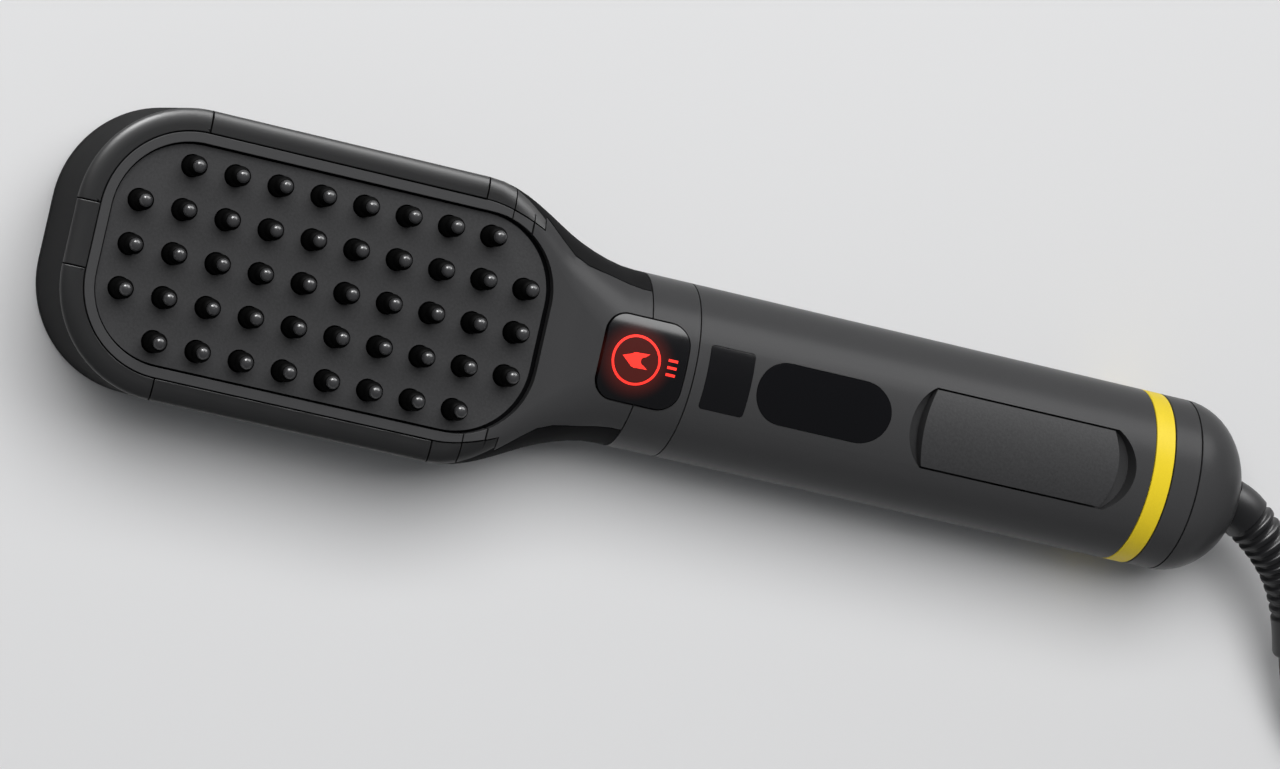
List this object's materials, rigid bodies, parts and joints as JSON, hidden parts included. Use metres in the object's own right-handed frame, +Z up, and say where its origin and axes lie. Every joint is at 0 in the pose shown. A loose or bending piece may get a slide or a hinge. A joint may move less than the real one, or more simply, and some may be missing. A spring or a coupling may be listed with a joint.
{
  "type": "steam_hair_straightener_brush",
  "caption": "Corded steam hair straightener brush with a heated pin face, power pad, display window, steam rocker and coiled mains lead",
  "frame": {"origin": "under the middle of the brush, on the surface that its rear cover rests on", "axes": "+X from the head's tip to the tail, +Y across the handle, +Z up from the rear cover to the pin face"},
  "size_m": [0.4162, 0.0972, 0.043],
  "materials": {
    "shell_black": "satin moulded black",
    "rim_satin": "satin to semi-gloss black",
    "bezel_grey": "flat dark grey",
    "neck_satin": "satin black",
    "panel_grey": "matte dark grey with a fine grain",
    "handle_satin": "satin black",
    "gloss_black": "gloss black",
    "window_gloss": "clear gloss over black",
    "pin_black": "gloss black",
    "tip_grey": "semi-gloss dark grey",
    "lens_red": "lit red",
    "ring_yellow": "satin yellow",
    "aluminium": "as cast",
    "steel": "bright",
    "ceramic": "off-white",
    "tank_plastic": "translucent grey",
    "tube_silicone": "milky",
    "pump_plastic": "dark grey",
    "wire_red": "red sleeving",
    "board_green": "green lacquer",
    "rubber_black": "matte",
    "sleeve_rubber": "semi-gloss",
    "cord_black": "satin",
    "plug_black": "satin"
  },
  "bodies": {
    "brush": {"rear_cover": "shell_black", "case_screws": "steel", "head_housing": "shell_black", "rim_tip": "rim_satin", "rim_corner_left": "rim_satin", "rim_corner_right": "rim_satin", "rim_rail_left": "rim_satin", "rim_rail_right": "rim_satin", "rim_shoulder_left": "rim_satin", "rim_shoulder_right": "rim_satin", "rim_end_left": "rim_satin", "rim_end_right": "rim_satin", "bezel": "bezel_grey", "bezel_end_left": "bezel_grey", "bezel_end_right": "bezel_grey", "neck_cover": "neck_satin", "face_panel": "panel_grey", "heat_base": "pin_black", "heat_pins": "pin_black", "pin_tips": "tip_grey", "heater": "ceramic", "thermal_fuse": "ceramic", "steam_chamber": "aluminium", "insulator_sheet": "ceramic", "water_tank": "tank_plastic", "feed_tube": "tube_silicone", "steam_tube": "tube_silicone", "steam_pump": "pump_plastic", "heater_wires": "wire_red", "collar": "neck_satin", "button_board": "board_green", "button_switch": "pump_plastic", "handle_shell": "handle_satin", "chassis": "pump_plastic", "control_board": "board_green", "display_module": "pump_plastic", "inlay_plate": "gloss_black", "display_window": "window_gloss", "rocker_pin": "pump_plastic", "rocker_board": "board_green", "rocker_switches": "pump_plastic", "accent_ring": "ring_yellow", "end_band": "handle_satin", "end_dome": "handle_satin", "cord_clamp": "pump_plastic", "strain_relief": "sleeve_rubber", "cord": "cord_black", "cord_coil": "cord_black", "cord_tail": "cord_black", "cord_tie": "rubber_black", "plug": "plug_black", "plug_pins": "steel"},
    "button": {"power_button": "gloss_black", "indicator_lens": "lens_red", "button_plunger": "tank_plastic"},
    "rocker": {"steam_rocker": "panel_grey"},
    "stopper": {"filler_plug": "rubber_black"}
  },
  "joints": [
    {"name": "power_press", "type": "slide", "parent": "brush", "child": "button", "axis": [0, 0, -1], "range_m": [0, 0.0007], "stiffness_N_per_m": 800, "springref_m": -0.0004},
    {"name": "steam_rock", "type": "hinge", "parent": "brush", "child": "rocker", "pos_m": [0.081, 0, 0.0305], "axis": [0, 1, 0], "range_deg": [-2, 2], "stiffness_Nm_per_rad": 0.5},
    {"name": "stopper_pull", "type": "slide", "parent": "brush", "child": "stopper", "axis": [0, -1, 0], "range_m": [0, 0.006]}
  ]
}
